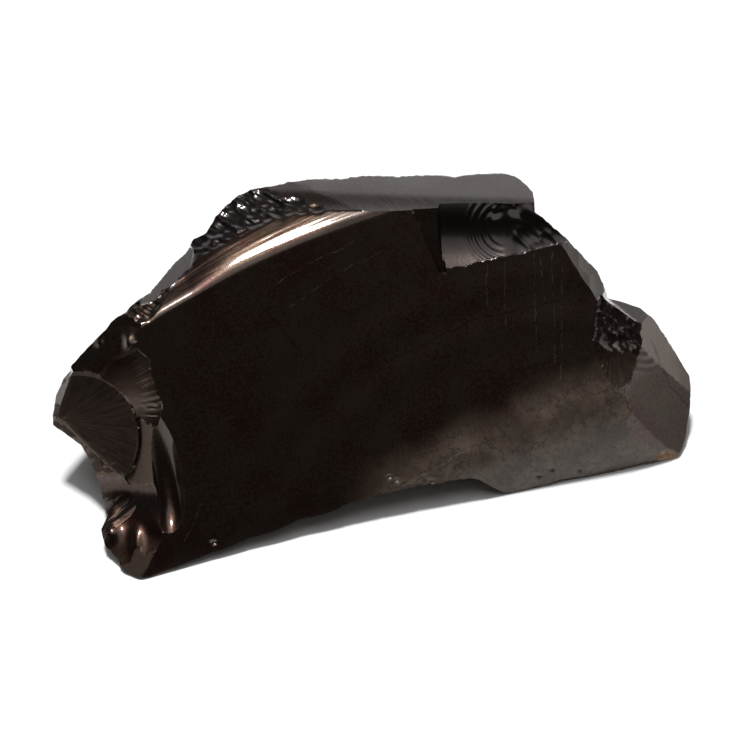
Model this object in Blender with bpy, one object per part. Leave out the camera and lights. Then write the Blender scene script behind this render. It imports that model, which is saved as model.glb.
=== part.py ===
"""A piece of glossy black shungite, 92 mm wide: one solid lump bounded by fracture surfaces.

The stone is described the way it formed. A lump of rock lost flake after flake, so the body is whatever
lies behind every fracture surface, inside its broken outline, in front of the back flakes and above the
ground. The front fractures are written as heights over the broad face, in a "face frame" in millimetres:
across to the right, up along the face, and out of the face. That frame leans back by 42 degrees on the
flat base.
"""

import bmesh
import bpy
import numpy as np

MM = 0.001
LEAN = np.radians(42)  # how far the face frame leans back from upright
LIFT = 16.15  # height of the face frame's origin above the base
HEART = np.array([0.0, 6.0, -12.0])  # a point deep inside, in the face frame
REACH = np.array([47.0, 31.0, 22.0])  # half sizes of the blank round the heart
BLANK_CUTS = 109  # the blank's grid, cuts along each edge
TRIANGLES = 10400  # what the stone keeps before its base is cut
SPARE = 2.0  # how far the blank reaches below the base before the cut
STRIDE = 0.025  # trial places along each aim, as a part of its length
HALVINGS = 20  # how often the last stride is halved
MIDDLE = (-0.08, 4.93)  # middle of the stone from above, before it is centred
HUB = (-0.7, 2.1)  # the outline is seen from here, across and up
BARREL = 0.020  # how fast the rim wall curves in, per millimetre
FADE = 5.0  # how far behind the rim its small notches die out

# The broken outline of the face, clockwise from the top left corner: across, up.
OUTLINE = [
    (-17.8, 26.5), (-15, 27), (-12.2, 27.7), (-5, 28.2), (-1, 28.8), (3.6, 28.6),
    (11.6, 28.6), (15.2, 29.2), (18.2, 29.3), (20.3, 28.9), (21.6, 27.7), (22.6, 26.1),
    (22.8, 23.2), (24.6, 21.8), (26.7, 20), (28.6, 18.1), (31.8, 14.7), (32.7, 12.9),
    (33.4, 11), (36.1, 10.4), (38.3, 9.7), (40.4, 7.9), (42, 5.8), (44.3, 2.2),
    (45.8, 0), (45.9, -2.2), (45.7, -5.1), (44.8, -9.4), (44.1, -11.1), (41.9, -12.8),
    (38.8, -12.7), (35.9, -13.5), (32.3, -14.8), (28.6, -14.6), (26.4, -15), (24.3, -15.7),
    (20.7, -16.5), (18.5, -16.8), (16.6, -15.9), (14.9, -14.9), (13.4, -14.6), (10.6, -14.8),
    (8.5, -15.5), (6.3, -15.4), (3.5, -16.2), (0.7, -16.7), (-3.5, -17.9), (-10.5, -20.1),
    (-17.4, -22.7), (-22.9, -24.7), (-29, -27), (-31.1, -27.8), (-32.7, -27.9), (-34.6, -27),
    (-35.6, -25.6), (-37.5, -23.6), (-38.1, -21.5), (-37.3, -19.6), (-38.3, -17.6), (-38.9, -14.8),
    (-40, -11.9), (-41.5, -9.8), (-43.7, -8.2), (-45.5, -7.1), (-45.6, -5.6), (-45.1, -2.8),
    (-43.9, -0.4), (-42, 1.8), (-39.8, 4.2), (-37.6, 6.3), (-36.2, 7.9), (-34.7, 8.7),
    (-33.5, 10.2), (-31.4, 11.6), (-30.1, 13.3), (-28.1, 15.9), (-26.4, 17.6), (-25.7, 19.3),
    (-23.9, 20.1), (-22.6, 22.6), (-21.2, 24.1), (-19.6, 25.6),
]

# The back flakes: which way each faces (right, back, up), its deepest point, and the radius of its dish.
BACK_FLAKES = [
    ((-0.20, 0.93, 0.28), (-2, 27, 17), 90),
    ((-0.74, 0.58, 0.34), (-35, 10, 17), 80),
    ((-0.85, 0.10, -0.50), (-43, -2, 4), 60),
    ((-0.52, 0.84, -0.10), (-24, 20, 9), 90),
    ((-0.42, 0.78, 0.48), (-22, 20, 24), 90),
    ((0.52, 0.70, 0.50), (29, 20, 22), 80),
    ((0.72, 0.66, 0.22), (40, 14, 10), 80),
    ((0.86, 0.20, -0.46), (45, 4, 3), 60),
    ((0.22, 0.97, -0.06), (14, 29, 10), 90),
    ((-0.95, -0.20, -0.22), (-38, -14, 4), 60),
]
# Where the base must reach at the back, so that the stone sits well: right, back.
HEELS = [(-36, 1), (-27, 14), (-8, 26), (14, 28), (30, 22), (40, 10)]


def above_zero(x):
    return np.maximum(x, 0)


def side(r, u, a, b):
    """Distance to the left of the line from a to b."""
    run, rise = b[0] - a[0], b[1] - a[1]
    return ((u - a[1]) * run - (r - a[0]) * rise) / np.hypot(run, rise)


def outside(r, u, corners):
    """Distance outside a convex patch whose corners run clockwise, and zero inside it."""
    ends = corners[1:] + corners[:1]
    return above_zero(np.max([side(r, u, a, b) for a, b in zip(corners, ends)], axis=0))


def wall(*gaps):
    """The steep edge of a flake, for the farthest of the given distances outside its patch."""
    gap = above_zero(np.max(gaps, axis=0))
    return 3.5 * gap + 0.15 * gap**2


def facet(r, u, at, slope, dish=(0, 0)):
    """A fracture surface through a point, with its slopes there and how much it dishes."""
    dr, du = r - at[0], u - at[1]
    return at[2] + slope[0] * dr + slope[1] * du + dish[0] * dr**2 / 2 + dish[1] * du**2 / 2


def swell(r, u, at, size):
    return np.exp(-(((r - at[0]) / size[0]) ** 2) - ((u - at[1]) / size[1]) ** 2)


def ease(x, low, high):
    """0 below low, 1 above high, and a smooth step between."""
    t = np.clip((x - low) / (high - low), 0, 1)
    return t * t * (3 - 2 * t)


def main_face(r, u):
    """The broad face: a shallow dish with rings, which rolls over below and at its upper left lip."""
    h = -0.15 * r - 0.05 * u + 0.0016 * r**2
    lower_right = above_zero(-side(r, u, (0.7, -14.8), (31.6, -0.7)))
    h -= 0.0105 * lower_right**2 * np.clip((r + 8) / 14, 0, 1)
    h -= 0.035 * above_zero(-side(r, u, (-30, -24), (1, -13.5))) ** 2
    along = (r + 29.5) * 0.904 + (u - 8.2) * 0.427
    over = above_zero(side(r, u, (-29.5, 8.2), (1.4, 22.8)) - 0.9 + 0.0035 * (along - 16) ** 2)
    turn = np.minimum(over, 3.9)
    h -= 0.088 * turn**2 + 0.176 * 3.9 * (over - turn)
    h -= 0.005 * above_zero(r - 27) ** 2 * np.clip((u + 14) / 10, 0, 1)
    ring = np.hypot(r - 28.8, u + 37.1)
    return h + 0.04 * np.sin(2 * np.pi * (ring - 50) / 7.0) * np.exp(-(((ring - 47) / 9) ** 2))


def top_trough(r, u):
    dip = 0.25 * swell(r, u, (-3, 24.5), (14, 2.5))
    return (22.6 - dip - 0.032 * r - u) / 0.53


def upper_left(r, u):
    h = facet(r, u, (-33.5, 4.2, 6.4), (0.62, -0.10), (0, -0.05))
    h = h + 0.5 * swell(r, u, (-34.2, 4.7), (0.7, 1.2)) + 0.5 * swell(r, u, (-38.4, 4.7), (0.9, 0.8))
    upper = [(-47.7, -3.6), (-47.5, 10.6), (-35.9, 12), (-31.1, 9.9), (-31.6, 7.4)]
    lower = [(-33, 3.5), (-35.8, 1.8), (-39, -1.8), (-43.2, -3)]
    return h + wall(outside(r, u, upper + lower))


def far_left(r, u):
    h = facet(r, u, (-43.9, -1.4, -0.6), (1.3, -0.3))
    upper, lower = [(-46.4, -7), (-45.7, -0.7), (-43.5, 1.3)], [(-42.8, 0.4), (-43.5, -2.8), (-44.3, -6)]
    return h + wall(outside(r, u, upper + lower))


# The fan: a later flake, struck from the far left, that stops at a round step.
FAN_AT = (-41.6, -8.9)
FAN_RADIUS = 8.8


def fan(r, u):
    h = facet(r, u, (-44, -7, -1.0), (0.46, 0.03), (0.010, 0))
    step = np.hypot(r - FAN_AT[0], u - FAN_AT[1]) - FAN_RADIUS
    return h + wall(step, side(r, u, (-34, -15.6), (-44.6, -6.9)))


def crescent(r, u):
    """The scar behind the fan, steeper to the right until it rolls over at its edge."""
    dr, du = r - -32.8, u - -4.2
    h = 3.6 + 0.78 * dr + 0.22 * du - 0.06 * dr * du + 0.05 * dr**2 - 0.10 * above_zero(dr - 0.8) ** 2
    inner = FAN_RADIUS - np.hypot(r - FAN_AT[0], u - FAN_AT[1])
    upper = [(-39.2, -1.8), (-35.8, 2.1), (-33, 3.3), (-31.3, 2.2), (-30.2, 0.4)]
    lower = [(-29.6, -1.8), (-29.6, -4.6), (-30.2, -7.1), (-35.6, -6.3)]
    return h + wall(inner, outside(r, u, upper + lower))


def long_slope(r, u):
    h = facet(r, u, (-33.2, -11.2, 3.8), (0.85, 0.02), (0.03, 0))
    inner = FAN_RADIUS - np.hypot(r - FAN_AT[0], u - FAN_AT[1])
    top = side(r, u, (-35.6, -5.2), (-29.2, -7.1))
    return h + wall(inner, top, side(r, u, (-34, -15.6), (-44.6, -6.9)))


def lens(r, u):
    """A long thin hollow beside the main face, deepest at 0.6 of the line from a to b."""
    a, b = (-29.7, -5.7), (-27.1, -19.3)
    length = (b[0] - a[0]) ** 2 + (b[1] - a[1]) ** 2
    along = ((r - a[0]) * (b[0] - a[0]) + (u - a[1]) * (b[1] - a[1])) / length
    off = side(r, u, a, b) + (along - 0.5) ** 2
    bed = 4.7 + 4.4 * (along - 0.6) ** 2 + 14 * above_zero(along - 0.88) ** 2
    return bed + 0.24 * off**2 + 0.45 * off


def low_left(r, u):
    h = facet(r, u, (-44, -7, -1.2), (0.70, 0.32))
    corners = [(-46.3, -5.6), (-43.3, -7.1), (-34, -15.7), (-33.7, -18), (-44.2, -17.5)]
    return h + wall(outside(r, u, corners))


def knob(r, u):
    """A hollow, then a saddle that rises toward the tip, with one round bump beside it."""
    below = -side(r, u, (-38.5, -16.8), (-25.7, -19))
    up_there = above_zero(u - -16.9)
    h = facet(r, u, (-32.8, -17.4, 2.4), (0.62, 0.05), (0.03, 0)) + 0.16 * up_there**2
    body = facet(r, u, (-34.1, -21.6, 5.0), (0.26, -0.37))
    body = body + 0.6 * swell(r, u, (-34, -20.5), (1.8, 2.4)) + 0.4 * swell(r, u, (-29.8, -21.6), (1.3, 2))
    h = h + (body - h) * ease(below, -1.0, 3.6) + swell(r, u, (-36.8, -21.8), (1.3, 1.4))
    corners = [(-44.3, -12), (-31.4, -11.9), (-26.2, -17.1), (-25.7, -31.2), (-43.7, -31.2)]
    return h + wall(outside(r, u, corners))


def tip(r, u):
    h = facet(r, u, (-32.1, -25.8, 6.6), (0.22, -0.22))
    upper = [(-35.1, -25.1), (-32.9, -23.9), (-30.8, -23.2)]
    lower = [(-28.3, -25), (-28.3, -32.5), (-36.6, -32.5)]
    return h + wall(outside(r, u, upper + lower))


def grey_chip(r, u):
    h = facet(r, u, (-28.6, 12, 3.9), (0.72, -1.30))
    upper, lower = [(-33.1, 9.7), (-33.1, 14.8), (-26.9, 19)], [(-25.7, 17.3), (-25.9, 13.9), (-29.5, 10.5)]
    return h + wall(outside(r, u, upper + lower))


def right_end(r, u):
    return facet(r, u, (36.1, -1.4, -4.3), (-0.98, -0.06), (0.012, 0.012))


def right_tip(r, u):
    return facet(r, u, (42.1, -0.4, -9.7), (-1.25, -0.45), (0.03, 0))


def right_under(r, u):
    """An undercut edge below the right end."""
    h = facet(r, u, (41.3, -9.4, -8.0), (-0.45, 0.40))
    return h + wall(side(r, u, (37.8, -17.8), (37.3, -3.6)))


def right_slope(r, u):
    h = facet(r, u, (28.8, 14.3, -4.0), (-1.05, -0.75))
    return h + wall(outside(r, u, [(20.9, 26.6), (35.2, 26.6), (34.3, 9.1), (31.7, 7.6)]))


def right_hackle(r, u):
    h = facet(r, u, (32.1, 4.7, -3.9), (-0.45, -0.45))
    upper, lower = [(30.4, 3.3), (30.9, 12.2), (38.2, 12.3)], [(45.4, 2.2), (36.5, 1.9)]
    return h + wall(outside(r, u, upper + lower))


def right_back(r, u):
    h = facet(r, u, (38.2, 7.6, -8.4), (-0.55, -1.25))
    return h + wall(outside(r, u, [(33, 12), (34.2, 13.7), (47.1, 6.5), (43, 2.8)]))


def scallop(r, u):
    """A rippled bite near the top right, which ends downwards in a crisp ledge."""
    dr, du = r - 18.5, u - 20.9
    away = np.hypot(dr, du)
    ripples = 0.07 * np.sin(2 * np.pi * away / 1.0) * ease(away, 1.5, 3.0) * ease(-dr, -0.5, 1.5)
    h = -4.7 + dr**2 / 200 + du**2 / 14 - 0.10 * above_zero(dr) + ripples * (1 - ease(away, 5.4, 6.4))
    return h + wall(side(r, u, (24.4, 18.3), (9.4, 14.7)), side(r, u, (9.6, 14.7), (7.5, 24.8)))


def scallop_left(r, u):
    h = facet(r, u, (8.8, 16, -3.0), (-0.20, 0.05))
    upper, lower = [(9.5, 14.6), (5, 23.7), (4.3, 26.2)], [(13.5, 26.2), (11.5, 15.4)]
    return h + wall(outside(r, u, upper + lower))


FRONT = [
    main_face, top_trough, upper_left, far_left, fan, crescent, long_slope, lens, low_left, knob, tip,
    grey_chip, right_end, right_tip, right_under, right_slope, right_hackle, right_back, scallop,
    scallop_left,
]


def heights(r, u):
    return np.array([surface(r, u) for surface in FRONT])


def upright(points):
    """Face frame to the stone's own frame: right, back, up."""
    r, u, o = points
    c, s = np.cos(LEAN), np.sin(LEAN)
    return np.array([r, u * s - o * c, u * c + o * s + LIFT])


def rim():
    """The outline as angle round the hub, distance from it, and the height of the face there."""
    r, u = np.array(OUTLINE).T
    turn = np.arctan2(u - HUB[1], r - HUB[0])
    order = np.argsort(turn)
    r, u, turn = r[order], u[order], turn[order]
    away = np.hypot(r - HUB[0], u - HUB[1])
    return turn, away, heights(r, u).min(axis=0), np.array([r, u])


TURN, AWAY, RIM_OUT, RIM_AT = rim()
EVEN = np.linspace(-np.pi, np.pi, 240, endpoint=False)
EVEN_AWAY = np.interp(EVEN, TURN, AWAY, period=2 * np.pi)
SMOOTH_AWAY = np.mean([np.roll(EVEN_AWAY, shift) for shift in range(-9, 10)], axis=0)


def rim_wall(r, u, o):
    turn = np.arctan2(u - HUB[1], r - HUB[0])
    away = np.interp(turn, TURN, AWAY, period=2 * np.pi)
    smooth = np.interp(turn, EVEN, SMOOTH_AWAY, period=2 * np.pi)
    out = np.interp(turn, TURN, RIM_OUT, period=2 * np.pi)
    away = away + (np.minimum(smooth, away + 0.6) - away) * np.clip((out - o) / FADE, 0, 1)
    return np.hypot(r - HUB[0], u - HUB[1]) - away + BARREL * (o - out) ** 2


def dished(points, facing, deepest, radius):
    facing = np.array(facing) / np.linalg.norm(facing)
    gap = points - np.array(deepest, float)[:, None]
    out = facing @ gap
    return out - ((gap**2).sum(axis=0) - out**2) / (2 * radius)


def back_levels():
    """Each back flake is set just far enough out to clear the rim and the heels."""
    rim_points = upright(np.array([*RIM_AT, RIM_OUT]))
    heels = np.array([(x, y, 0.0) for x, y in HEELS]).T
    kept = np.concatenate([rim_points, heels], axis=1)
    return [dished(kept, *flake).max() for flake in BACK_FLAKES]


LEVELS = back_levels()


def beyond(points):
    """One row for each fracture: how far each point (face frame) is outside it."""
    r, u, o = points
    whole = upright(points)
    back = [dished(whole, *flake) - level for flake, level in zip(BACK_FLAKES, LEVELS)]
    return np.concatenate([o - heights(r, u), [rim_wall(r, u, o)], back, [-whole[2] - SPARE]])


def out_to_surface(aims):
    """The outermost place along each aim (one column each) that is behind every fracture."""
    heart = HEART[:, None]
    near, far = np.zeros(aims.shape[1]), np.full(aims.shape[1], STRIDE)
    for trial in np.arange(STRIDE, 1.3, STRIDE):
        inside = beyond(heart + aims * trial).max(axis=0) <= 0
        near, far = np.where(inside, trial, near), np.where(inside, trial + STRIDE, far)
    for _ in range(HALVINGS):
        middle = (near + far) / 2
        free = beyond(heart + aims * middle).max(axis=0) > 0
        far, near = np.where(free, middle, far), np.where(free, near, middle)
    points = heart + aims * near
    rows = beyond(points)
    return points, rows, rows.argmax(axis=0)


def snap_to_ridges(aims, rows, which, ends):
    """Moves the vertex nearest to each ridge onto it, so that ridges stay crisp."""
    a, b = ends
    crossing = which[a] != which[b]
    a, b = a[crossing], b[crossing]
    drop_a = rows[which[a], a] - rows[which[b], a]
    drop_b = rows[which[b], b] - rows[which[a], b]
    part = drop_a / (drop_a + drop_b + 1e-9)
    near = np.where(part <= 0.5, a, b)
    other = np.where(part <= 0.5, b, a)
    part = np.minimum(part, 1 - part)
    order = np.argsort(-part)
    moved = aims.copy()
    near, other, part = near[order], other[order], part[order]
    moved[:, near] = aims[:, near] + (aims[:, other] - aims[:, near]) * part
    return moved


def clear_scene():
    for obj in list(bpy.data.objects):
        bpy.data.objects.remove(obj, do_unlink=True)


def blank():
    """A finely divided block round the heart."""
    shape = bmesh.new()
    bmesh.ops.create_cube(shape, size=2.0)
    bmesh.ops.subdivide_edges(shape, edges=shape.edges[:], cuts=BLANK_CUTS, use_grid_fill=True)
    mesh = bpy.data.meshes.new("shungite_stone")
    shape.to_mesh(mesh)
    shape.free()
    return mesh


def break_stone(mesh):
    """Moves every vertex of the blank in to the fracture surfaces."""
    flat = np.empty(len(mesh.vertices) * 3)
    mesh.vertices.foreach_get("co", flat)
    aims = flat.reshape(-1, 3).T * REACH[:, None]
    ends = np.empty(len(mesh.edges) * 2, dtype=np.int32)
    mesh.edges.foreach_get("vertices", ends)
    points, rows, which = out_to_surface(aims)
    aims = snap_to_ridges(aims, rows, which, ends.reshape(-1, 2).T)
    points = upright(out_to_surface(aims)[0])
    points[:2] -= np.array(MIDDLE)[:, None]
    mesh.vertices.foreach_set("co", (points.T * MM).ravel())
    mesh.update()


def stone_material():
    material = bpy.data.materials.new("shungite")
    material.use_nodes = True
    shader = material.node_tree.nodes["Principled BSDF"]
    shader.inputs["Base Color"].default_value = (0.012, 0.010, 0.009, 1)
    shader.inputs["Roughness"].default_value = 0.12
    shader.inputs["IOR"].default_value = 1.8
    return material


def in_collection(obj, name):
    group = bpy.data.collections.new(name)
    bpy.context.scene.collection.children.link(group)
    group.objects.link(obj)
    return group


def ground():
    """The block whose top is the plane the stone lies on."""
    shape = bmesh.new()
    bmesh.ops.create_cube(shape, size=1.0)
    bmesh.ops.scale(shape, vec=(200 * MM, 200 * MM, 20 * MM), verts=shape.verts)
    bmesh.ops.translate(shape, vec=(0, 0, -10 * MM), verts=shape.verts)
    mesh = bpy.data.meshes.new("ground")
    shape.to_mesh(mesh)
    shape.free()
    block = bpy.data.objects.new("ground", mesh)
    in_collection(block, "cutters").hide_render = True
    block.hide_render = True
    block.display_type = "WIRE"
    return block


def make_stone():
    mesh = blank()
    break_stone(mesh)
    mesh.materials.append(stone_material())
    stone = bpy.data.objects.new("shungite_stone", mesh)
    in_collection(stone, "shungite_stone")
    thin = stone.modifiers.new("fewer triangles", "DECIMATE")
    thin.ratio = TRIANGLES / (2 * len(mesh.polygons))
    base = stone.modifiers.new("flat base", "BOOLEAN")
    base.operation = "DIFFERENCE"
    base.solver = "EXACT"
    base.object = ground()
    return stone


clear_scene()
make_stone()
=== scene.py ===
# %% [markdown]
# # A piece of shungite
#
# Shungite is a black, nearly pure carbon rock. The glassy kind breaks like thick glass: into broad
# dished faces with shallow rings, sharp edges, and small stepped chips where one flake met another.
# This lesson builds one hand-sized lump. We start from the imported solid, so that everything below is
# in its frame and in metres.

import bpy
import numpy as np
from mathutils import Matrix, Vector


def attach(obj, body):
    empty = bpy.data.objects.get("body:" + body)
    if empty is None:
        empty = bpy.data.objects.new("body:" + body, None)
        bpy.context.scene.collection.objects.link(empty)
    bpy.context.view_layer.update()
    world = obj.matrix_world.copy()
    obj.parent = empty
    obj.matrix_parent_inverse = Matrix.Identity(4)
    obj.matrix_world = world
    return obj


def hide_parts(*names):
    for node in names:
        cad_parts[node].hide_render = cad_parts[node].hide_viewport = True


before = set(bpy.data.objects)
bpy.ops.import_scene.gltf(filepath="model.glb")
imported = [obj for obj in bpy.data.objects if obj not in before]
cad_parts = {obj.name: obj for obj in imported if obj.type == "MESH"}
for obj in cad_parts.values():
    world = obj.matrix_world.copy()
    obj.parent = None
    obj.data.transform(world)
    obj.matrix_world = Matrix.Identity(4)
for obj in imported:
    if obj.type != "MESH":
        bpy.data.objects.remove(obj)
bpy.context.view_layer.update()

MM = 0.001

# %% [markdown]
# ## Two frames
#
# The broad face leans back by 42 degrees, so its shapes are easiest to write in a frame of its own:
# `r` to the right, `u` up along the face and `o` out of it, in millimetres. A turned object would
# do the same, but the finished stone has to sit unturned at the origin, so the points themselves
# are turned back upright: one rotation about the r axis, `(r, u s - o c, u c + o s)` with s and c
# the sine and cosine of the lean.

# %% The face frame
LEAN = np.radians(42)
LIFT = 16.15  # mm from the floor to the middle of the broad face
MIDDLE = np.array([-0.08, 4.93, 0.0])  # middle of the stone's box, in mm
HEART = np.array([0.0, 6.0, -12.0])  # a point well inside the stone, in the face frame


def upright(points):
    """Face frame to the stone's own frame: right, back, up, in millimetres."""
    r, u, o = points
    c, s = np.cos(LEAN), np.sin(LEAN)
    return np.array([r, u * s - o * c, u * c + o * s + LIFT])


print("the broad face's middle stands", round(float(upright((0.0, 0.0, 0.0))[2]), 2), "mm up")

# %% [markdown]
# ## Words for a broken surface
#
# A fracture can be written as a height over the face, `o = h(r, u)`. The stone keeps only what lies
# behind every fracture, so the whole face is the lowest of all of them, and edges appear by
# themselves where two of them cross. It could also be sculpted, or cut with one Boolean after
# another, but a sculpt softens such edges, and Booleans leave slivers where two cuts nearly meet.
#
# A few small helpers are enough: a tilted and dished sheet, a soft swelling, and a wall that keeps
# a small flake inside its own patch. All take whole arrays.

# %% Helpers for fractures
def above_zero(x):
    """The number itself where it is positive, and 0 elsewhere."""
    return np.maximum(x, 0)


def side(r, u, a, b):
    """Distance to the left of the line from a to b."""
    run, rise = b[0] - a[0], b[1] - a[1]
    return ((u - a[1]) * run - (r - a[0]) * rise) / np.hypot(run, rise)


def outside(r, u, corners):
    """Distance outside a convex patch whose corners run clockwise, and zero inside it."""
    ends = corners[1:] + corners[:1]
    return above_zero(np.max([side(r, u, a, b) for a, b in zip(corners, ends)], axis=0))


def wall(*gaps):
    """A wall outside a patch: 3.5 d + 0.15 d^2, with d the largest of the distances outside it."""
    gap = above_zero(np.max(gaps, axis=0))
    return 3.5 * gap + 0.15 * gap**2


def facet(r, u, at, slope, dish=(0, 0)):
    """h = o0 + s . d + dish d^2 / 2, where d is the distance from the point `at`."""
    dr, du = r - at[0], u - at[1]
    return at[2] + slope[0] * dr + slope[1] * du + dish[0] * dr**2 / 2 + dish[1] * du**2 / 2


def swell(r, u, at, size):
    """A soft hump, exp(-(dr / a)^2 - (du / b)^2)."""
    return np.exp(-(((r - at[0]) / size[0]) ** 2) - ((u - at[1]) / size[1]) ** 2)


def ease(x, low, high):
    """0 below low, 1 above high, and 3t^2 - 2t^3 between."""
    t = np.clip((x - low) / (high - low), 0, 1)
    return t * t * (3 - 2 * t)


print("a wall 0.5 and 1 mm outside its patch:", wall(np.array([0.5, 1.0])).round(2), "mm")

# %% [markdown]
# Roughness needs chance, but the same chance each time. A hash turns a grid cell's two numbers into
# one between 0 and 1. Blending it between cells gives soft noise. Scattering one point in each cell
# and measuring how far the nearest one is gives scallops with sharp crests between them, just as tiny
# flakes leave.

# %% Repeatable chance
def chance(i, j, seed):
    """The fractional part of 43758.5 sin(127.1 i + 311.7 j + 74.7 seed)."""
    x = np.sin(i * 127.1 + j * 311.7 + seed * 74.7) * 43758.5453
    return x - np.floor(x)


def soft_noise(x, y, seed):
    """Chance at the four corners of the cell, blended with 3t^2 - 2t^3, from -1 to 1."""
    i, j = np.floor(x), np.floor(y)
    tx, ty = ease(x - i, 0, 1), ease(y - j, 0, 1)
    low = chance(i, j, seed) * (1 - tx) + chance(i + 1, j, seed) * tx
    high = chance(i, j + 1, seed) * (1 - tx) + chance(i + 1, j + 1, seed) * tx
    return 2 * (low * (1 - ty) + high * ty) - 1


def scallops(x, y, seed):
    """Squared distance to the nearest scattered point: 0 in a hollow, up to about 1 on a crest."""
    i, j = np.floor(x), np.floor(y)
    best = np.full(np.shape(x), 9.0)
    for di in (-1, 0, 1):
        for dj in (-1, 0, 1):
            px = i + di + 0.15 + 0.7 * chance(i + di, j + dj, seed)
            py = j + dj + 0.15 + 0.7 * chance(i + di, j + dj, seed + 5)
            best = np.minimum(best, (x - px) ** 2 + (y - py) ** 2)
    return best


print("three chances:", chance(np.arange(3.0), 0.0, 1).round(3))

# %% [markdown]
# ## The broad face
#
# One blow took off this face, from below on the right. It left a shallow dish with faint rings round
# the point of impact. The face rolls over toward the floor along its lower right edge, and rolls up
# into a ribbed lip at the upper left, where the light catches it. Behind the lip the glass tore into
# rows of small curved scallops.

# %% The broad face as a height
BLOW = (28.8, -37.1)  # where the blow fell, below the stone's edge
LIP = ((-29.5, 8.2), (1.4, 22.8))  # the ends of the line where the face starts to roll over
CHIPS = [(2, -14.3), (3, -14.8), (8, -15), (23.3, -14.3), (25.2, -13.4), (29.3, -13.6), (-22.4, -23.3)]


def lip_along(r, u):
    """Distance from the lip's left end, measured in its direction (0.904, 0.427)."""
    return (r - LIP[0][0]) * 0.904 + (u - LIP[0][1]) * 0.427


def lip_distance(r, u):
    """Distance over the lip's line, which is bowed by 0.9 mm in its middle."""
    return side(r, u, *LIP) - 0.9 + 0.0035 * (lip_along(r, u) - 16) ** 2


def torn_lip(r, u, over):
    """Ribs that fan out along the lip, then torn scallops that sink past an uneven edge."""
    along = lip_along(r, u)
    spread = over / (0.72 + along / 50)
    ribs = 0.085 * soft_noise(spread * 1.4, along / 16, 6)
    ribs = ribs + 0.036 * soft_noise(spread * 4.2, along / 9, 7)
    ribs = ribs * ease(over, 1.2, 2.6) * (1 - ease(over, 6.5, 8.0))
    lean = over - 0.25 * along
    tear = scallops(along / 1.3 + 0.5 * over, lean / 2.8 + 0.3 * soft_noise(along / 2, over / 2, 4), 11)
    tear = 0.9 * tear + 0.15 * scallops(along / 0.6 + over, over / 1.0, 12)
    edge = 4.6 * ease(along, -4, 6) - 1.6 * ease(along, 20, 29)
    edge = edge + 0.6 * soft_noise(along / 1.6, over / 9, 3)
    sink = 0.2 * np.clip(over - edge, 0, 2.5) * ease(along, 6, 10)
    return ribs + (tear - 0.45) * ease(over, edge, edge + 0.8) - sink


def main_face(r, u):
    """A dish -0.15 r - 0.05 u + 0.0016 r^2 that rolls away past each edge, with rings and a few chips.

    Past the lip it rolls by 0.165 d^2 for 1.7 mm, then bends less, so that the light stays on it.
    """
    h = -0.15 * r - 0.05 * u + 0.0016 * r**2
    lower_right = above_zero(-side(r, u, (0.7, -14.8), (31.6, -0.7)))
    h = h - 0.0105 * lower_right**2 * np.clip((r + 8) / 14, 0, 1)
    h = h - 0.035 * above_zero(-side(r, u, (-30, -24), (1, -13.5))) ** 2
    over = lip_distance(r, u)
    along = lip_along(r, u)
    bent = above_zero(over)
    turn, late = np.minimum(bent, 1.7), np.clip(bent - 1.7, 0, 2.9)
    roll = 0.165 * turn**2 + 0.561 * (bent - turn) + 0.055 * late**2
    roll = roll + 0.319 * above_zero(bent - 4.6)
    h = h - roll * (1.3 - 0.3 * ease(along, 4, 14)) + torn_lip(r, u, over)
    h = h - 0.008 * np.clip(13 - along, 0, 8) ** 2 * ease(over, 0, 2.5)
    h = h - 0.005 * above_zero(r - 27) ** 2 * np.clip((u + 14) / 10, 0, 1)
    for chip in CHIPS:
        h = h - 0.35 * swell(r, u, chip, (0.45, 0.3))
    ring = np.hypot(r - BLOW[0], u - BLOW[1])
    rings = 0.03 * np.sin(2 * np.pi * (ring - 50) / 7.0) * np.exp(-(((ring - 47) / 9) ** 2))
    return h + rings, 0 * r


ends = main_face(np.array([-25.0, 25.0]), np.zeros(2))[0]
print("the broad face 25 mm left and right of its middle:", ends.round(2), "mm")

# %% [markdown]
# ## The top
#
# The top is one smooth grey trough, nearly level once the stone stands upright. Fine slanted stripes
# run along a low shelf at its front, and it falls away at its left, where the torn glass begins.
# Every flake from here on is a function that gives back two arrays: its sheet and its wall.

# %% The top
def behind_front(r, u):
    """Distance behind the front edge of the top, up along the face: u - 22.6 + 0.032 r."""
    return u - 22.6 + 0.032 * r


def top_trough(r, u):
    """The plane u = 22.6 - 0.53 o - 0.032 r with a soft dip, a shelf in front and a fall at its left."""
    dip = 0.25 * swell(r, u, (-3, 24.5), (14, 2.5))
    up = behind_front(r, u)
    shelf = 0.70 * ease(up, 0.4, 3.6)
    fall = above_zero(-side(r, u, (-12.8, 28), (-5.8, 24.9)))
    return (-dip - up) / 0.53 + shelf - 0.27 * fall, 0 * r


print("the top, 3 mm behind its front edge:", round(float(top_trough(0.0, 25.6)[0]), 2), "mm")

# %% [markdown]
# ## The left end
#
# The left end is a stack of flakes, each on top of the one before. A dark lumpy shoulder slopes away
# from the broad face. Below it are a thin slip of rim and a scar with a comb of short cracks. In
# front of the scar lies a fan, struck from the far left, that stops at a curved step.

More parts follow.
